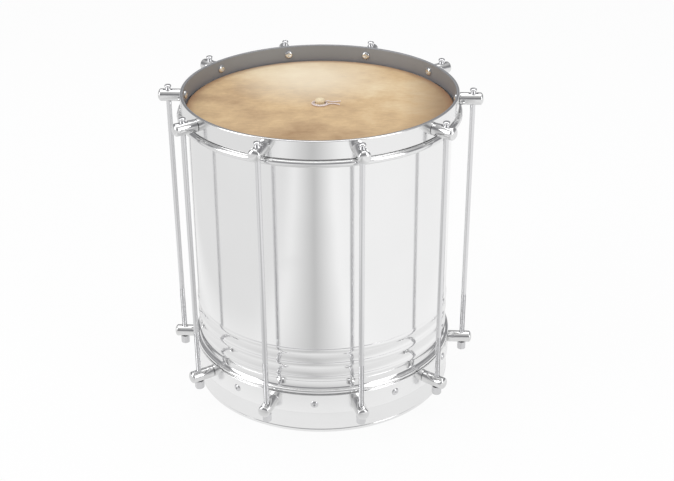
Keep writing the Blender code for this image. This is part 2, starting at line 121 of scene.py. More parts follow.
def turn(name, outline, sides, closed=True):
    """Turns an outline of (radius, height) points in millimetres round Z."""
    points = [Vector((r, 0, z)) * MM for r, z in outline]
    if closed:
        points.append(points[0])
    piece = first_point(name, points[0])
    for here, there in zip(points, points[1:]):
        bpy.ops.mesh.extrude_vertices_move(TRANSFORM_OT_translate={"value": there - here})
    bpy.ops.mesh.select_all(action="SELECT")
    bpy.ops.mesh.spin(steps=sides, angle=2 * math.pi, center=(0, 0, 0), axis=(0, 0, 1))
    bpy.ops.mesh.select_all(action="SELECT")
    bpy.ops.mesh.remove_doubles(threshold=SAME_POINT)
    bpy.ops.mesh.normals_make_consistent(inside=False)
    bpy.ops.object.mode_set(mode="OBJECT")
    smooth(piece)
    return piece


print("edges under", round(math.degrees(SMOOTH_BELOW)), "degrees are shaded round")

# %% [markdown]
# Shader maths is easier to read as sums than as a chain of nodes. Nodes could be added one by
# one. This small class wraps a socket, so that an expression such as 1 - mask adds its own nodes.

# %% Sums of sockets
class Wire:
    """One node output, or a sum of some, that can be used in Python expressions."""

    def __init__(self, tree, socket):
        self.tree = tree
        self.socket = socket

    def maths(self, operation, first, second):
        node = self.tree.nodes.new("ShaderNodeMath")
        node.operation = operation
        plug(self.tree, node.inputs[0], first)
        plug(self.tree, node.inputs[1], second)
        return Wire(self.tree, node.outputs[0])

    def __add__(self, other):
        return self.maths("ADD", self, other)

    def __radd__(self, other):
        return self.maths("ADD", other, self)

    def __sub__(self, other):
        return self.maths("SUBTRACT", self, other)

    def __rsub__(self, other):
        return self.maths("SUBTRACT", other, self)

    def __mul__(self, other):
        return self.maths("MULTIPLY", self, other)

    def __rmul__(self, other):
        return self.maths("MULTIPLY", other, self)


def plug(tree, socket, value):
    if isinstance(value, Wire):
        tree.links.new(value.socket, socket)
    else:
        socket.default_value = value


print("a wire can be added, subtracted and multiplied")

# %% [markdown]
# Every other node comes from one method, which takes its type, its settings and its sockets. The
# few kinds that are needed again and again, such as a mask that rises along a slope, get a short
# method of their own.

# %% Nodes
class Nodes:
    """Adds nodes to one node tree."""

    def __init__(self, tree):
        self.tree = tree

    def add(self, kind, settings=None, output=0, stops=None, inputs=(), **sockets):
        """A node of this kind. The inputs are plugged in order, and the sockets by their names,
        where an underscore stands for a space."""
        node = self.tree.nodes.new(kind)
        for key, value in (settings or {}).items():
            setattr(node, key, value)
        for socket, value in zip(node.inputs, inputs):
            plug(self.tree, socket, value)
        if stops:
            ramp = node.color_ramp
            while len(ramp.elements) < len(stops):
                ramp.elements.new(0.5)
            for element, (position, colour) in zip(ramp.elements, stops):
                element.position = position
                element.color = (*colour, 1.0)
        for key, value in sockets.items():
            plug(self.tree, node.inputs[key.replace("_", " ")], value)
        return Wire(self.tree, node.outputs[output])

    def mix(self, factor, first, second):
        """Blends two colours, each a colour of three numbers or a wire."""
        node = self.tree.nodes.new("ShaderNodeMix")
        node.data_type = "RGBA"
        plug(self.tree, node.inputs[0], factor)
        plug(self.tree, node.inputs[6], first if isinstance(first, Wire) else (*first, 1.0))
        plug(self.tree, node.inputs[7], second if isinstance(second, Wire) else (*second, 1.0))
        return Wire(self.tree, node.outputs[2])

    def slope(self, value, nothing_at, full_at):
        """A mask that is 0 at one value and 1 at the other, and rises evenly between them."""
        return self.add("ShaderNodeMapRange", Value=value, From_Min=nothing_at, From_Max=full_at)

    def coordinate(self, axis, place):
        return self.add("ShaderNodeSeparateXYZ", output=axis, Vector=place)

    def distance(self, place, centre=(0.0, 0.0, 0.0)):
        measure = {"operation": "DISTANCE"}
        return self.add("ShaderNodeVectorMath", measure, output="Value", inputs=(place, centre))


class Finish(Nodes):
    """A material with one Principled shader."""

    def __init__(self, name):
        self.material = bpy.data.materials.new(name)
        self.material.use_nodes = True
        super().__init__(self.material.node_tree)
        self.shader = self.tree.nodes["Principled BSDF"]
        self.place = self.add("ShaderNodeTexCoord", output="Object")

    def stretched(self, x, y, z):
        """The object's coordinates, scaled along each axis."""
        return self.add("ShaderNodeMapping", Vector=self.place, Scale=(x, y, z))

    @property
    def ground(self):
        """The object's coordinates with their height left out."""
        return self.stretched(1, 1, 0)

    def noise(self, scale, detail=3.0, roughness=0.5, place=None):
        return self.add(
            "ShaderNodeTexNoise",
            Vector=place or self.place,
            Scale=scale,
            Detail=detail,
            Roughness=roughness,
        )

    def bump(self, height, strength, distance):
        return self.add("ShaderNodeBump", Height=height, Strength=strength, Distance=distance)

    def look(self, **sockets):
        """Sets the shader's sockets and gives back the material."""
        for key, value in sockets.items():
            plug(self.tree, self.shader.inputs[key.replace("_", " ")], value)
        return self.material


print("node helpers", Nodes.__name__, Finish.__name__)

# %% [markdown]
# The shell, the hoops and the hardware are bright metal. A plain mirror would look like a
# drawing. Real rolled sheet is a little wavy and has fine rubbing marks, so slow noise bends its
# reflections slightly, and a finer noise, drawn out along the rolling direction, dulls them. The
# band round the skirt is paler and duller than the shell, so it has a finish of its own.

# %% Bright metal
BLACK = (0, 0, 0)
WHITE = (1, 1, 1)
CLOUD_SCALE = 22.0
SPECK_SCALE = 2600.0
RUBBED_STRETCH = (160, 160, 900)
RUBBED_IN_SHAPE = 0.02
DENT_DEPTH = 0.004
WORN_WHERE = [(0.62, BLACK), (0.74, WHITE)]
TARNISH = 0.9


def rubbing(finish):
    """Fine marks, drawn out round the drum."""
    return finish.noise(1.0, detail=4.0, roughness=0.6, place=finish.stretched(*RUBBED_STRETCH))


def bright_metal(name, colour, dull, wave, wave_scale, worn):
    finish = Finish(name)
    cloud = finish.noise(CLOUD_SCALE, detail=4.0)
    rubbed = rubbing(finish)
    specks = finish.noise(SPECK_SCALE, detail=2.0)
    marks = finish.add("ShaderNodeValToRGB", stops=WORN_WHERE, Fac=cloud)
    roughness = dull + 0.05 * rubbed + 0.07 * worn * marks + 0.02 * specks
    tint = finish.mix(0.35 * cloud, colour, [TARNISH * c for c in colour])
    dent = finish.noise(wave_scale, detail=2.0)
    shape = finish.bump(dent + RUBBED_IN_SHAPE * rubbed, wave, DENT_DEPTH)
    return finish.look(Base_Color=tint, Metallic=1.0, Roughness=roughness, Normal=shape)


print("rubbing marks are", RUBBED_STRETCH[2] / RUBBED_STRETCH[0], "times longer than high")

# %% [markdown]
# The counter hoop is polished outside. Its inner face is painted shade, a darker grey, and is also
# rougher and less metallic. Two materials could be given to its faces. One material with a mask on
# the distance from the drum's axis needs no faces picked out, and lets one finish pass into the
# other over the bevelled edge.

# %% Hoop plate with painted shade inside
HOOP_SHADED_INSIDE = 0.1303
HOOP_BRIGHT_OUTSIDE = 0.1309
HOOP_FACE_PAINTED_SHADE = (0.30, 0.31, 0.33)
HOOP_BRIGHT = (0.88, 0.88, 0.88)


def hoop_plate_painted_shade_inside():
    """Bright outside and on its edges, and painted shade, a darker grey, on the face that looks at
    the skin.
    """
    finish = Finish("hoop_plate_painted_shade_inside")
    radius = finish.distance(finish.ground)
    outside = finish.slope(radius, HOOP_SHADED_INSIDE, HOOP_BRIGHT_OUTSIDE)
    cloud = finish.noise(CLOUD_SCALE, detail=4.0)
    rubbed = rubbing(finish)
    # Painted shade: the inner face gets a dark grey, and the outside gets the bright metal colour.
    colour = finish.mix(outside, HOOP_FACE_PAINTED_SHADE, HOOP_BRIGHT)
    roughness = 0.42 - 0.34 * outside + 0.08 * rubbed + 0.05 * cloud
    dent = finish.noise(12.0, detail=2.0)
    shape = finish.bump(dent + RUBBED_IN_SHAPE * rubbed, 0.06, DENT_DEPTH)
    metallic = 0.35 + 0.65 * outside
    return finish.look(Base_Color=colour, Metallic=metallic, Roughness=roughness, Normal=shape)


FINISHES = {
    "polished_shell": bright_metal(
        "rolled_sheet", (0.92, 0.92, 0.92), dull=0.07, wave=0.10, wave_scale=9.0, worn=1.0
    ),
    "hoop_chrome": hoop_plate_painted_shade_inside(),
    "flesh_hoop_metal": bright_metal(
        "flesh_hoop_plate", (0.84, 0.84, 0.84), dull=0.10, wave=0.05, wave_scale=14.0, worn=0.8
    ),
    "lug_chrome": bright_metal(
        "turned_plate", (0.80, 0.80, 0.80), dull=0.08, wave=0.08, wave_scale=90.0, worn=1.0
    ),
    "rod_chrome": bright_metal(
        "rod_plate", (0.78, 0.78, 0.79), dull=0.12, wave=0.05, wave_scale=60.0, worn=1.0
    ),
    "zinc_hardware": bright_metal(
        "zinc_plate", (0.74, 0.74, 0.75), dull=0.20, wave=0.10, wave_scale=220.0, worn=1.0
    ),
}
BAND_PLATE = bright_metal(
    "band_plate", (0.98, 0.98, 0.98), dull=0.16, wave=0.05, wave_scale=12.0, worn=0.5
)
print("metal finishes", len(FINISHES) + 1)

# %% [markdown]
# The skin is untreated goat hide. One noise alone would look like clouds. Hide has a pale and a
# tawny side, darker patches, short hair marks that run one way, and pores, so each is a layer of
# its own, and the colours come from a ramp between cream and tan. The pale side at the back is
# partly the hide's own tone and partly painted light. Masks then add a painted highlight at the
# back, a dark side, a darker ring at the edge and the cream nub.

# %% Goat hide
HIDE_SHADES = [
    (0.24, (0.36, 0.21, 0.10)),
    (0.40, (0.56, 0.38, 0.21)),
    (0.52, (0.72, 0.51, 0.28)),
    (0.72, (0.90, 0.75, 0.50)),
]
HAIR_STRETCH = (90, 420, 90)
PAINTED_HIGHLIGHT_PLACE = (-0.015, 0.075, 0.0)
PAINTED_HIGHLIGHT_COLOUR = (0.97, 0.87, 0.68)
DARK_SIDE = (0.30, 0.17, 0.08)
DARKER_EDGE_RING = (0.36, 0.17, 0.09)
NUB_CREAM = (0.88, 0.76, 0.52)
PAINTED_HIGHLIGHT_FADES = (0.085, 0.020)
DARK_RISES = (0.092, 0.132)
EDGE_RING_RISES = (0.119, 0.128)
NUB_RISES = (0.0065, 0.0045)
HAIR_DEPTH = 0.0006


def hide_colour(finish, shade, patches):
    radius = finish.distance(finish.ground)
    colour = finish.add("ShaderNodeValToRGB", stops=HIDE_SHADES, Fac=shade)
    nub = finish.slope(radius, *NUB_RISES)
    colour = finish.mix(0.8 * nub, colour, NUB_CREAM)
    # Painted highlight: a pale place at the back of the hide.
    pale = finish.slope(finish.distance(finish.ground, PAINTED_HIGHLIGHT_PLACE), *PAINTED_HIGHLIGHT_FADES)
    colour = finish.mix(0.65 * pale, colour, PAINTED_HIGHLIGHT_COLOUR)
    sideways = finish.coordinate("X", finish.place)
    dark = finish.slope(sideways + 0.03 * patches, *DARK_RISES)
    colour = finish.mix(0.8 * dark, colour, DARK_SIDE)
    # A darker red-brown ring near the edge of the hide.
    edge = finish.slope(radius, *EDGE_RING_RISES)
    return finish.mix(0.75 * edge, colour, DARKER_EDGE_RING)


def goat_hide():
    finish = Finish("goat_hide")
    broad = finish.noise(9.0, detail=5.0, roughness=0.6)
    patches = finish.noise(26.0, detail=6.0, roughness=0.65)
    hairs = finish.noise(1.0, detail=5.0, roughness=0.7, place=finish.stretched(*HAIR_STRETCH))
    pores = finish.noise(900.0, detail=3.0, roughness=0.6)
    # Towards the back the hide is paler: partly its own tone, partly painted light.
    tone_and_light_towards_back = finish.coordinate("Y", finish.place)
    shade = 0.75 * broad + 0.40 * patches + 0.22 * hairs + 0.08 * pores + 0.9 * tone_and_light_towards_back - 0.22
    colour = hide_colour(finish, shade, patches)
    shape = finish.bump(0.5 * hairs + 0.3 * patches + 0.3 * pores, 0.35, HAIR_DEPTH)
    return finish.look(Base_Color=colour, Roughness=0.42 + 0.2 * patches, Normal=shape)


FINISHES["goat_skin"] = goat_hide()
print("hide shades", len(HIDE_SHADES))

# %% [markdown]
# Cane is straw coloured and has long fibres. A wood texture could be used. Noise that is drawn
# out along the stick is simpler and looks the same. The waxed cotton thread is pale with a
# pinkish shade, and its surface is a little woolly.

# %% Cane and thread
CANE_STRETCH = (1500, 1500, 14)
CANE_SHADES = [
    (0.30, (0.45, 0.30, 0.13)),
    (0.50, (0.66, 0.49, 0.25)),
    (0.72, (0.78, 0.62, 0.36)),
]
THREAD_PALE = (0.90, 0.84, 0.82)
THREAD_PINK = (0.74, 0.60, 0.58)


def cane_finish():
    finish = Finish("cane_stick")
    fibres = finish.noise(1.0, detail=4.0, roughness=0.6, place=finish.stretched(*CANE_STRETCH))
    stains = finish.noise(40.0, detail=4.0)
    shade = 0.6 * fibres + 0.4 * stains
    colour = finish.add("ShaderNodeValToRGB", stops=CANE_SHADES, Fac=shade)
    shape = finish.bump(fibres, 0.3, 0.0004)
    return finish.look(Base_Color=colour, Roughness=0.35 + 0.25 * stains, Normal=shape)


def thread_finish():
    finish = Finish("waxed_cotton")
    fluff = finish.noise(1800.0, detail=3.0)
    colour = finish.mix(fluff, THREAD_PALE, THREAD_PINK)
    shape = finish.bump(fluff, 0.6, 0.0003)
    return finish.look(Base_Color=colour, Roughness=0.55, Normal=shape)


FINISHES["cane"] = cane_finish()
FINISHES["waxed_thread"] = thread_finish()
print("finishes", sorted(FINISHES))

# %% [markdown]
# The shell is one sheet of metal: a rolled hem at the top, three beads that stiffen it, a
# shoulder bead, a wider skirt and a curled foot. It could be a plain tube with rings added. But
# its section holds all of them, so one outline is drawn down the outside, round the foot and up
# the inside, and is turned.

# %% Shell
SHELL_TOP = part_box("shell")[1].z / MM
SHELL_R = 127.0
SHEET = 1.2
BEAD_HEIGHTS = (89.7, 74.7, 59.7)
BEAD_WIDTH = 7.2
BEAD_RISE = 0.8
SKIRT_R = 129.7
SHOULDER_Z = 46.5
SHOULDER_BEAD = 2.0
CURL = 2.2
CURL_WIDE = 1.45
HEM = 2.6
HEM_ROUND = 0.9
RING_SIDES = 200


def dress(piece, slot, body, *nodes, finish=None):
    """Gives a finished piece its material and its body, and hides the CAD nodes that it stands
    for.
    """
    piece.data.materials.clear()
    piece.data.materials.append(finish or FINISHES[slot])
    if body:
        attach(piece, body)
    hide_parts(*nodes)


def arc(centre_r, centre_z, wide, tall, start, end, steps):
    """Points of an ellipse from start to end, in degrees, counted up from the +r direction."""
    points = []
    for i in range(steps + 1):
        angle = math.radians(start + (end - start) * i / steps)
        points.append((centre_r + wide * math.cos(angle), centre_z + tall * math.sin(angle)))
    return points


def beads(radius, steps):
    points = []
    for middle in BEAD_HEIGHTS:
        for i in range(steps + 1):
            share = 1 - 2 * i / steps
            points.append((radius + BEAD_RISE * (1 - share**2), middle + share * BEAD_WIDTH / 2))
    return points


def shell_outline():
    inner = SHELL_R - SHEET
    skirt_inner = SKIRT_R - SHEET
    hem_inner = SHELL_R - HEM
    hem_z = SHELL_TOP - HEM_ROUND
    # down the outside from the hem to the skirt
    outline = arc(SHELL_R - HEM_ROUND, hem_z, HEM_ROUND, HEM_ROUND, 90, 0, 5)
    outline += beads(SHELL_R, 10)
    outline += [(SHELL_R, SHOULDER_Z + 3.8), (SHELL_R + 0.2, SHOULDER_Z + 3.1)]
    outline += arc(SKIRT_R - 0.4, SHOULDER_Z, SHOULDER_BEAD, SHOULDER_BEAD, 115, -65, 12)
    outline += [(SKIRT_R, SHOULDER_Z - 2.5), (SKIRT_R, 2 * CURL + 0.8)]
    # round the curled foot
    outline += arc(SKIRT_R - 0.75, CURL, CURL_WIDE, CURL, 50, -180, 16)
    # up the inside to the hem
    outline += [(skirt_inner, 2 * CURL + 1.0), (skirt_inner, SHOULDER_Z - 1.5)]
    outline += [(skirt_inner, SHOULDER_Z), (inner, SHOULDER_Z + 2.6)]
    outline += list(reversed(beads(inner, 6)))
    outline += [(inner, SHELL_TOP - 5.2), (hem_inner, SHELL_TOP - 4.0)]
    outline += arc(hem_inner + HEM_ROUND, hem_z, HEM_ROUND, HEM_ROUND, 180, 90, 5)
    return outline


def make_shell():
    shell = turn("shell_sheet", shell_outline(), RING_SIDES)
    dress(shell, "polished_shell", "drum", "shell")
    print("shell", len(shell.data.polygons), "faces")


make_shell()

# %% [markdown]
# The band and the tall counter hoop are flat rings. Their edges are broken by a small bevel,
# because a perfectly sharp edge catches no light and looks false. The bevel is left to a
# modifier, which is then applied.

# %% Band and counter hoop
HOOP_INNER = 129.8
HOOP_OUTER = 132.8
HOOP_EDGE = 0.7
BAND_INNER = 130.0
BAND_OUTER = 131.2
BAND_EDGE = 0.3


def heights(node):
    """The lowest and highest point of a CAD node, in millimetres."""
    low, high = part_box(node)
    return low.z / MM, high.z / MM


def flat_ring(name, node, inner, outer, edge):
    low, high = heights(node)
    outline = [(inner, high), (outer, high), (outer, low), (inner, low)]
    piece = turn(name, outline, RING_SIDES)
    modifier = piece.modifiers.new("edge", "BEVEL")
    modifier.width = edge * MM
    modifier.segments = 3
    modifier.limit_method = "ANGLE"
    bpy.ops.object.modifier_apply(modifier=modifier.name)
    smooth(piece)
    return piece


def make_flat_rings():
    band = flat_ring("band_strip", "lower_band", BAND_INNER, BAND_OUTER, BAND_EDGE)
    dress(band, "polished_shell", "drum", "lower_band", finish=BAND_PLATE)
    hoop = flat_ring("hoop_ring", "counter_hoop", HOOP_INNER, HOOP_OUTER, HOOP_EDGE)
    dress(hoop, "hoop_chrome", "tension_head", "counter_hoop")
    print("flat rings", band.name, hoop.name)


make_flat_rings()

# %% [markdown]
# The flesh hoop holds the edge of the skin. It is round outside, and has a slot in its inner face
# where the hide is held. The slot could be cut with a Boolean. Here it is part of the section,
# which runs from the top round the outside and back along the slot.

# %% Flesh hoop
FLESH_INNER = 128.3
FLESH_ROUND = 2.6
FLESH_EDGE = 0.7
SLOT_HALF = 0.65
SLOT_DEPTH = 2.9


def make_flesh_hoop():
    low, high = heights("flesh_hoop")
    middle = (low + high) / 2
    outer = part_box("flesh_hoop")[1].y / MM
    outline = [(FLESH_INNER, high - FLESH_EDGE), (FLESH_INNER + FLESH_EDGE, high)]
    outline += arc(outer - FLESH_ROUND, middle, FLESH_ROUND, high - middle, 90, -90, 14)
    outline += [(FLESH_INNER + FLESH_EDGE, low), (FLESH_INNER, low + FLESH_EDGE)]
    outline += [(FLESH_INNER, middle - SLOT_HALF), (FLESH_INNER + SLOT_DEPTH, middle - SLOT_HALF)]
    outline += [(FLESH_INNER + SLOT_DEPTH, middle + SLOT_HALF), (FLESH_INNER, middle + SLOT_HALF)]
    ring = turn("flesh_hoop_ring", outline, RING_SIDES)
    dress(ring, "flesh_hoop_metal", "tension_head", "flesh_hoop")
    print("flesh hoop", len(ring.data.polygons), "faces")


make_flesh_hoop()

# %% [markdown]
# Holes are cut with Boolean modifiers, which are applied at once. A hole could be made face by
# face, but a cutter goes through the piece as a drill would. A piece that repeats is made once,
# and then copied round the drum, each copy with its own mesh.

# %% Cutting and copying
LUG_COUNT = 10
LIE_DOWN = Matrix.Rotation(math.radians(90), 4, "Y")


def moved(x, y, z):
    return Matrix.Translation(Vector((x, y, z)) * MM)


def tool(name, sides, radius, length, place):
    """A bar that cuts another piece, given in millimetres. Its shape is a prism along Z."""
    bpy.ops.object.select_all(action="DESELECT")
    bpy.ops.mesh.primitive_cylinder_add(vertices=sides, radius=radius * MM, depth=length * MM)
    cutter = bpy.context.object
    cutter.name = name
    cutter.data.transform(place)
    return cutter


def carve(piece, cutter, operation="DIFFERENCE"):
    """Applies a Boolean with the cutter and then deletes the cutter."""
    bpy.ops.object.select_all(action="DESELECT")
    bpy.context.view_layer.objects.active = piece
    modifier = piece.modifiers.new("carve", "BOOLEAN")
    modifier.operation = operation
    modifier.solver = "EXACT"
    modifier.object = cutter
    bpy.ops.object.modifier_apply(modifier=modifier.name)
    bpy.data.objects.remove(cutter)


def copies_round(pattern, kind, circle, height, first=0.0):
    """Copies the pattern to every lug angle, each copy with its own mesh, and deletes it."""
    made = []
    for k in range(LUG_COUNT):
        angle = 2 * math.pi * k / LUG_COUNT + first
        piece = pattern.copy()
        piece.data = pattern.data.copy()
        piece.name = f"{kind}_{k + 1:02d}"
        piece.data.name = piece.name
        bpy.context.scene.collection.objects.link(piece)
        piece.data.transform(Matrix.Rotation(angle, 4, "Z") @ moved(circle, 0, height))
        made.append(piece)
    bpy.data.objects.remove(pattern)
    return made


print("each repeated piece is copied", LUG_COUNT, "times")

# %% [markdown]
# Ten lugs are riveted through the hoop and ten through the band. Each is a turned bar with a
# blunt dome, drilled across for its rod, with a tenon that is closed over inside as a rivet. The
# bar is turned once, laid along X, drilled, and cut flat where the rod's head or the nut sits.

# %% Lugs
ROD_CIRCLE = 145.8
LUG_R = 6.0
LUG_END = 10.0
LUG_DOME = 3.0
LUG_SIDES = 36
LUG_PLAY = 0.05
TENON_R = 2.4
ROD_HOLE_R = 2.8
SEAT_R = 5.0
SEAT_CUT = 0.6
SEAT_SIDES = 40
CUTTER_HEIGHT = 6.0
DRILL_LENGTH = 30.0
DRILL_SIDES = 32
UPPER_Z = (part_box("counter_hoop")[0].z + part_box("counter_hoop")[1].z) / 2 / MM
LOWER_Z = (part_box("lower_band")[0].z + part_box("lower_band")[1].z) / 2 / MM


def lug_outline(wall_outer, wall_inner):
    shoulder = ROD_CIRCLE - wall_outer - LUG_PLAY
    head = -(ROD_CIRCLE - wall_inner + LUG_PLAY)
    outline = [(0, LUG_END)]
    outline += arc(0, LUG_END - LUG_DOME, LUG_R, LUG_DOME, 72, 0, 9)
    outline += [(LUG_R, -shoulder + 0.8), (LUG_R - 0.2, -shoulder + 0.3), (LUG_R - 0.8, -shoulder)]
    # the tenon goes through the wall and is closed over behind it
    outline += [(TENON_R, -shoulder), (TENON_R, head), (4.3, head), (4.1, head - 0.9)]
    outline += [(3.3, head - 1.7), (2.3, head - 2.15), (1.6, head - 2.1)]
    outline += [(1.1, head - 1.6), (0, head - 1.5)]
    return outline


def make_lug(wall_outer, wall_inner, seat_side):
    lug = turn("lug", lug_outline(wall_outer, wall_inner), LUG_SIDES, closed=False)
    lug.data.transform(LIE_DOWN)
    carve(lug, tool("drill", DRILL_SIDES, ROD_HOLE_R, DRILL_LENGTH, Matrix.Identity(4)))
    seat_z = seat_side * (LUG_R - SEAT_CUT + CUTTER_HEIGHT / 2)
    carve(lug, tool("seat", SEAT_SIDES, SEAT_R, CUTTER_HEIGHT, moved(0, 0, seat_z)))
    smooth(lug)
    return lug


def make_lugs():
    upper_pattern = make_lug(HOOP_OUTER, HOOP_INNER, 1)
    upper = copies_round(upper_pattern, "hoop_lug", ROD_CIRCLE, UPPER_Z)
    lower_pattern = make_lug(BAND_OUTER, SKIRT_R - SHEET, -1)
    lower = copies_round(lower_pattern, "band_lug", ROD_CIRCLE, LOWER_Z)
    for k in range(LUG_COUNT):
        dress(upper[k], "lug_chrome", "tension_head", f"upper_lug_{k + 1:02d}")
        dress(lower[k], "lug_chrome", "drum", f"lower_lug_{k + 1:02d}")
    print("lugs", len(upper) + len(lower))


make_lugs()

# %% [markdown]
# The tension rods have a small cross-slotted head that sits on the upper lug, and an M5 thread at
# their lower end. A thread could be a helix, but from a step away its turns look like fine
# rings, so they are points of the turned outline, and the cross is cut with two thin bars.

# %% Tension rods
ROD_R = 2.5
ROD_SIDES = 20
ROD_HEAD_R = 3.3
ROD_HEAD_DOME = 1.4
THREAD_DEPTH = 0.36
THREAD_PITCH = 0.8
THREAD_TOP = 84.0
CROSS_WIDTH = 0.75
CROSS_LENGTH = 5.0


def rod_outline(bottom, top):
    seat = UPPER_Z + LUG_R - SEAT_CUT
    # the domed head, its neck and the foot that sits on the lug
    outline = [(0, top)]
    outline += arc(0, top - ROD_HEAD_DOME, ROD_HEAD_R, ROD_HEAD_DOME, 60, 0, 5)
    outline += [(ROD_HEAD_R, top - 2.4), (2.9, top - 3.0), (2.3, seat + 1.6), (2.6, seat + 0.7)]
    outline += [(3.6, seat + 0.1), (ROD_R, seat + 0.05), (ROD_R, THREAD_TOP)]
    # the turns of the thread
    turns = int((THREAD_TOP - bottom - 1.0) / THREAD_PITCH)
    for i in range(turns):
        z = THREAD_TOP - i * THREAD_PITCH
        outline += [(ROD_R, z - 0.1), (ROD_R - THREAD_DEPTH, z - 0.4), (ROD_R, z - 0.7)]
    outline += [(ROD_R - 0.1, bottom + 0.5), (ROD_R - 0.6, bottom), (0, bottom)]
    return outline


def make_rod():
    bottom, top = heights("tension_rod_01")
    rod = turn("rod", rod_outline(bottom, top), ROD_SIDES, closed=False)
    # a four-sided bar that lies on one of its faces
    square = LIE_DOWN @ Matrix.Rotation(math.pi / 4, 4, "Z")
    for turned in (45, 135):
        slot = tool("slot", 4, CROSS_WIDTH / math.sqrt(2), CROSS_LENGTH, square)
        slot.data.transform(moved(0, 0, top) @ Matrix.Rotation(math.radians(turned), 4, "Z"))
        carve(rod, slot)
    smooth(rod)
    return rod


def make_rods():
    rods = copies_round(make_rod(), "rod", ROD_CIRCLE, 0)
    for k in range(LUG_COUNT):
        dress(rods[k], "rod_chrome", "tension_head", f"tension_rod_{k + 1:02d}")
    print("rods", len(rods))


make_rods()

# %% [markdown]
# The nuts under the lower lugs are hexagons with rounded corners. The corners could be bevelled.
# On a real nut they are turned off on a lathe, so here the hexagon is kept only where it meets a
# turned barrel.

# %% Nuts
NUT_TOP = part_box("hex_nut_01")[1].z / MM
NUT_HEIGHT = 8.5
NUT_FLATS = 8.2
NUT_BORE_R = ROD_HOLE_R - 0.1
BARREL_SIDES = 48


def make_nut():
    flat = NUT_FLATS / 2
    corner = NUT_FLATS / 2 / math.cos(math.pi / 6)
    blank = tool("nut", 6, corner, NUT_HEIGHT, moved(0, 0, -NUT_HEIGHT / 2))
    outline = [(0, 0.01), (flat + 0.05, 0.01), (corner + 0.05, -0.5)]
    outline += [(corner + 0.05, -NUT_HEIGHT + 1.2), (flat + 0.1, -NUT_HEIGHT + 0.35)]
    outline += [(flat - 0.7, -NUT_HEIGHT - 0.01), (0, -NUT_HEIGHT - 0.01)]
    carve(blank, turn("barrel", outline, BARREL_SIDES, closed=False), "INTERSECT")
    carve(blank, tool("bore", DRILL_SIDES, NUT_BORE_R, DRILL_LENGTH, Matrix.Identity(4)))
    smooth(blank)
    return blank


def make_nuts():
    nuts = copies_round(make_nut(), "nut", ROD_CIRCLE, NUT_TOP)
    for k in range(LUG_COUNT):
        number = f"{k + 1:02d}"
        dress(nuts[k], "zinc_hardware", f"nut_{number}", f"hex_nut_{number}")
    print("nuts", len(nuts))


make_nuts()

# %% [markdown]
# Blind rivets hold the band between the lugs. Each shows as a low dome with a hole in its
# middle, where its pin snapped off. The hole could be drilled afterwards, but it is simpler as
# part of the turned outline.

# %% Rivets
RIVET_SIDES = 32
RIVET_HOLE_R = 0.9
RIVET_HOLE_DEPTH = 1.5
RIVET_SHANK_R = 1.9


def make_rivets():
    tail = BAND_OUTER - (SKIRT_R - SHEET)
    # the hole and the dome
    outline = [(0, -RIVET_HOLE_DEPTH), (RIVET_HOLE_R, -RIVET_HOLE_DEPTH), (0.95, 1.25)]
    outline += [(1.3, 1.42), (2.4, 1.15), (3.3, 0.6), (3.75, 0.1), (3.8, -0.05)]
    # the shank and the swollen tail behind the sheet
    outline += [(RIVET_SHANK_R, -0.05), (RIVET_SHANK_R, -tail), (2.7, -tail - 0.9)]
    outline += [(2.4, -tail - 2.2), (1.2, -tail - 2.9), (0, -tail - 2.9)]
    rivet = turn("rivet", outline, RIVET_SIDES, closed=False)
    rivet.data.transform(LIE_DOWN)
    rivets = copies_round(rivet, "rivet", BAND_OUTER + 0.05, LOWER_Z, math.pi / LUG_COUNT)
    for k in range(LUG_COUNT):
        dress(rivets[k], "zinc_hardware", "drum", f"band_rivet_{k + 1:02d}")
    print("rivets", len(rivets))


make_rivets()

# %% [markdown]
# The skin is a disc of hide, soaked and drawn over the rim of the shell, with its edge held in
# the flesh hoop. The head of the stick makes a small nub in its middle, and the hide puckers round
# it. The section is turned, and then the points near the nub are moved into soft folds.

# %% Folds of the skin
PUCKERS = 9
PUCKER_RISE = 0.5
PUCKER_START = 5.0
PUCKER_REACH = 5.0
PUCKER_TWIST = 0.3
SWELL_RISE = 0.12
SWELL_SCALE = 22
FLAT_FROM = 122.0
FLAT_WITHIN = 20.0
NECK_R = 7.4
NECK_WITHIN = 3.0


def clamp(value):
    """The value, kept between 0 and 1."""
    return max(0.0, min(1.0, value))


def pucker(point):
    """How far hide rises at this point: folds that run out from the nub, and slow swells."""
    radius = math.hypot(point.x, point.y) / MM
    angle = math.atan2(point.y, point.x)
    near = math.exp(-max(radius - PUCKER_START, 0.0) / PUCKER_REACH)
    wave = 0.5 + 0.5 * math.sin(PUCKERS * angle + PUCKER_TWIST * radius)
    fold = PUCKER_RISE * near * wave
    swell = SWELL_RISE * noise.noise(Vector((point.x, point.y, 0)) * SWELL_SCALE)
    rim = clamp((FLAT_FROM - radius) / FLAT_WITHIN)
    grip = clamp((radius - NECK_R) / NECK_WITHIN)
    return (fold * grip + swell * grip) * rim * MM


print("folds", PUCKERS)

# %% [markdown]
# The middle of the hide stays with the drum, and its edge is drawn down with the flesh hoop. It
# could ride on one body, but then it would come away from the other. So it rides on no body, and
# its place is baked into its mesh.

# %% Skin
NUB_HEIGHT = 6.0
SKIN_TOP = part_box("skin")[1].z / MM - NUB_HEIGHT
HIDE = 0.7
HIDE_RADII = (NECK_R, 9, 11, 13.5, 17, 22, 30, 45, 65, 85, 105, 118)
NUB_FOOT = 1.0
NUB_UNEVEN = 0.05


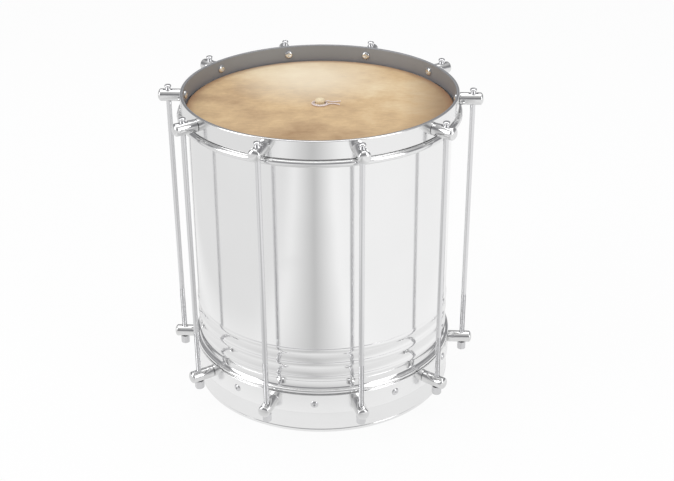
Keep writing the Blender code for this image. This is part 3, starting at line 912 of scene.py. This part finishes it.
def skin_outline():
    top = SKIN_TOP
    under = top - HIDE
    # over the nub and out to the edge in the flesh hoop
    outline = [(0, top + NUB_HEIGHT)] + arc(0, top + 3.2, 4.9, 2.75, 75, -20, 8)
    outline += [(4.0, top + 1.3), (4.1, top + 0.5), (4.6, top + 0.1)]
    outline += [(r, top) for r in HIDE_RADII]
    outline += arc(126.9, top - 1.2, 1.15, 1.2, 90, 0, 4)
    outline += [(128.05, top - 4.4), (130.9, top - 4.4), (130.9, top - 5.1), (127.35, top - 5.1)]
    # back underneath to the pocket of the stick's head
    outline += arc(126.6, top - 1.6, 0.72, 0.88, 0, 90, 4)
    outline += [(r, under) for r in reversed(HIDE_RADII)]
    outline += [(4.3, under), (3.2, top + 0.66), (3.3, top + 1.8)]
    outline += arc(0, top + 3.0, 4.2, 2.3, 0, 75, 6)
    outline += [(0, top + 5.3)]
    return outline


def make_skin():
    skin = turn("hide", skin_outline(), RING_SIDES, closed=False)
    for vertex in skin.data.vertices:
        vertex.co.z += pucker(vertex.co)
        uneven = 1 + NUB_UNEVEN * math.sin(3 * math.atan2(vertex.co.y, vertex.co.x))
        if vertex.co.z > (SKIN_TOP + NUB_FOOT) * MM:
            vertex.co.x *= uneven
            vertex.co.y *= uneven
    dress(skin, "goat_skin", None, "skin")
    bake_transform(skin)
    print("skin", len(skin.data.polygons), "faces")


make_skin()

# %% [markdown]
# Waxed thread ties the hide round the neck of the stick, in nearly two turns, and both ends are
# left a little long. It could be a pair of rings, but rings have no ends. So it is a bevelled
# curve through points on a flat spiral, turned into a mesh. Its inner tail climbs over the outer
# turn and comes down beyond it.

# %% Thread
STRAND = 0.6
THREAD_PLAY = 0.3
THREAD_START = math.radians(20)
THREAD_TURNS = 1.9
THREAD_POINTS = 54
THREAD_FIRST_R = 5.1
THREAD_STEP = 1.7
TAIL_DIRECTION = Vector((1.0, 0.18, 0))
INNER_TAIL = (
    (15.0, 0.5, 0.2),
    (12.6, 0.9, 0.1),
    (9.0, 0.2, 0.2),
    (4.6, 0.0, 0.8),
    (2.7, 0.0, 1.75),
    (1.2, 0.0, 1.3),
)
OUTER_TAIL = ((3.0, 1.4, 0.0), (6.5, 1.3, 0.1), (11.0, -1.2, 0.0))


def spiral_point(turned):
    height = SKIN_TOP + THREAD_PLAY + STRAND
    angle = THREAD_START + 2 * math.pi * turned
    radius = THREAD_FIRST_R + THREAD_STEP * turned
    return Vector((radius * math.cos(angle), radius * math.sin(angle), height))


def thread_route():
    first = spiral_point(0)
    route = [first + TAIL_DIRECTION * along + Vector((0, y, z)) for along, y, z in INNER_TAIL]
    route += [spiral_point(THREAD_TURNS * i / THREAD_POINTS) for i in range(THREAD_POINTS + 1)]
    last = route[-1]
    route += [last + Vector(step) for step in OUTER_TAIL]
    return [point * MM for point in route]


def make_thread():
    curve = bpy.data.curves.new("thread", "CURVE")
    curve.dimensions = "3D"
    curve.bevel_depth = STRAND * MM
    curve.bevel_resolution = 3
    curve.use_fill_caps = True
    curve.resolution_u = 6
    route = thread_route()
    spline = curve.splines.new("NURBS")
    spline.points.add(len(route) - 1)
    spline.use_endpoint_u = True
    spline.order_u = 3
    for point, place in zip(spline.points, route):
        point.co = (*place, 1.0)
    thread = bpy.data.objects.new("neck_thread", curve)
    bpy.context.scene.collection.objects.link(thread)
    bpy.ops.object.select_all(action="DESELECT")
    thread.select_set(True)
    bpy.context.view_layer.objects.active = thread
    bpy.ops.object.convert(target="MESH")
    thread = bpy.context.object
    smooth(thread)
    dress(thread, "waxed_thread", "tied_thread", "tie_thread")
    print("thread", len(thread.data.polygons), "faces")


make_thread()

# %% [markdown]
# The stick is thin cane with two joints, where the old leaves grew. It hangs inside the drum and
# is seen from below. A plain cylinder would look like a tube there, so it is turned like the rest,
# with a ridge and a groove at each joint.

# %% Stick
STICK_R = 3.8
STICK_NECK_R = 2.4
STICK_SIDES = 32
JOINT_DROPS = (85.0, 175.0)


def make_stick():
    foot = heights("stick")[0]
    shoulder = SKIN_TOP - HIDE - 0.3
    # the head in the nub, and the neck where it is tied
    outline = [(0, SKIN_TOP + 4.6)] + arc(0, SKIN_TOP + 3.1, 3.6, 1.4, 70, 0, 5)
    outline += [(STICK_NECK_R, SKIN_TOP + 2.1), (STICK_NECK_R, shoulder + 0.3)]
    outline += [(3.4, shoulder), (STICK_R, shoulder - 0.6)]
    for drop in JOINT_DROPS:
        z = shoulder - drop
        outline += [(STICK_R, z + 3.0), (STICK_R + 0.2, z + 1.4), (STICK_R + 0.6, z + 0.6)]
        outline += [(STICK_R + 0.45, z + 0.1), (STICK_R - 0.25, z - 0.1), (STICK_R - 0.1, z - 0.7)]
        outline += [(STICK_R, z - 2.0)]
    outline += [(STICK_R, foot + 0.8), (STICK_R - 0.7, foot), (0, foot)]
    stick = turn("cane_rod", outline, STICK_SIDES, closed=False)
    dress(stick, "cane", "stick", "stick")
    print("stick", len(stick.data.polygons), "faces")


make_stick()

# %% [markdown]
# The drum was photographed on white. The camera sees the floor as white, with a faint shadow.
# Bright metal shows whatever is round it, and a plain white floor would wipe out the light and
# dark bands of the sheet. So shiny metal sees the floor as greys that change from left to right.
# The floor is clear from below, so that the inside of the drum can be looked at.

# %% Floor
FLOOR_SIZE = 12
FLOOR_SHARE_WHITE = 0.92
FLOOR_COLOUR = (0.93, 0.93, 0.93)
FLOOR_MIRRORED = [
    (0.00, (0.80, 0.80, 0.80)),
    (0.15, (0.94, 0.94, 0.94)),
    (0.47, (0.54, 0.54, 0.54)),
    (0.78, (1.00, 1.00, 1.00)),
    (1.00, (0.95, 0.95, 0.95)),
]
FLOOR_AT_FOOT = (0.88, 0.88, 0.88)
FOOT_ENDS = 0.27
FOOT_FULL = 0.16


def mirrored_floor(nodes):
    """The greys that shiny metal sees, one metre wide, and an even grey near the foot."""
    place = nodes.add("ShaderNodeTexCoord", output="Object")
    sideways = nodes.coordinate("X", place)
    far = nodes.add("ShaderNodeValToRGB", stops=FLOOR_MIRRORED, Fac=0.5 + sideways)
    near = nodes.slope(nodes.distance(place), FOOT_ENDS, FOOT_FULL)
    return nodes.mix(near, far, FLOOR_AT_FOOT)


def floor_material():
    material = bpy.data.materials.new("pale_floor")
    material.use_nodes = True
    nodes = Nodes(material.node_tree)
    nodes.tree.nodes.remove(nodes.tree.nodes["Principled BSDF"])
    matt = nodes.add("ShaderNodeBsdfDiffuse", Color=(*FLOOR_COLOUR, 1.0))
    camera_ray = nodes.add("ShaderNodeLightPath", output="Is Camera Ray")
    glossy_ray = nodes.add("ShaderNodeLightPath", output="Is Glossy Ray")
    glass_ray = nodes.add("ShaderNodeLightPath", output="Is Transmission Ray")
    shown = nodes.mix(camera_ray, mirrored_floor(nodes), WHITE)
    glow = nodes.add("ShaderNodeEmission", Color=shown, Strength=1.0)
    glow_share = FLOOR_SHARE_WHITE * (camera_ray + glossy_ray + glass_ray)
    from_above = nodes.add("ShaderNodeMixShader", inputs=(glow_share, matt, glow))
    below = nodes.add("ShaderNodeNewGeometry", output="Backfacing")
    clear = nodes.add("ShaderNodeBsdfTransparent")
    seen = nodes.add("ShaderNodeMixShader", inputs=(below, from_above, clear))
    plug(nodes.tree, nodes.tree.nodes["Material Output"].inputs["Surface"], seen)
    return material


def make_floor():
    bpy.ops.object.select_all(action="DESELECT")
    bpy.ops.mesh.primitive_plane_add(size=FLOOR_SIZE, location=(0, 0, 0))
    floor = bpy.context.object
    floor.name = "floor"
    floor.data.materials.append(floor_material())
    print("floor", FLOOR_SIZE, "m")


make_floor()

# %% [markdown]
# The world is white to the camera and lights the drum with a plain grey. It could be the same
# grey in reflections, but then the metal would look flat. There it is light at the horizon,
# darker above it and light again overhead, as in a studio with a soft light above.

# %% World
WORLD_LIGHT = (0.58, 0.58, 0.59)
WORLD_MIRRORED = [
    (0.0, (0.70, 0.70, 0.71)),
    (0.12, (0.38, 0.38, 0.39)),
    (0.45, (0.22, 0.22, 0.23)),
    (0.90, (0.75, 0.75, 0.75)),
]


def make_world():
    world = bpy.data.worlds.new("white_room")
    bpy.context.scene.world = world
    world.use_nodes = True
    nodes = Nodes(world.node_tree)
    camera_ray = nodes.add("ShaderNodeLightPath", output="Is Camera Ray")
    glossy_ray = nodes.add("ShaderNodeLightPath", output="Is Glossy Ray")
    direction = nodes.add("ShaderNodeTexCoord", output="Generated")
    up = nodes.coordinate("Z", direction)
    room = nodes.add("ShaderNodeValToRGB", stops=WORLD_MIRRORED, Fac=up)
    lit = nodes.mix(glossy_ray, WORLD_LIGHT, room)
    shown = nodes.mix(camera_ray, lit, WHITE)
    plug(nodes.tree, nodes.tree.nodes["Background"].inputs["Color"], shown)
    print("world", world.name)


make_world()

# %% [markdown]
# Three wide, soft lamps light the drum from the left, the right and above. Small lamps would give
# hard spots on polished metal, and wide ones give its long highlights. They aim at the middle of
# the drum.

# %% Lamps
LAMP_AIM = Vector((0, 0, 0.16))


def make_lamp(name, place, size, power):
    data = bpy.data.lights.new(name, "AREA")
    data.shape = "RECTANGLE"
    data.size, data.size_y = size
    data.energy = power
    lamp = bpy.data.objects.new(name, data)
    bpy.context.scene.collection.objects.link(lamp)
    lamp.location = place
    aim = LAMP_AIM - lamp.location
    lamp.rotation_euler = aim.to_track_quat("-Z", "Y").to_euler()


make_lamp("left_softbox", place=(-1.6, -0.7, 1.0), size=(0.9, 1.6), power=12)
make_lamp("right_softbox", place=(1.5, -1.0, 0.9), size=(0.8, 1.5), power=9)
make_lamp("top_softbox", place=(0.0, 0.3, 1.9), size=(1.6, 1.2), power=9)
bpy.context.scene.view_settings.view_transform = "Standard"
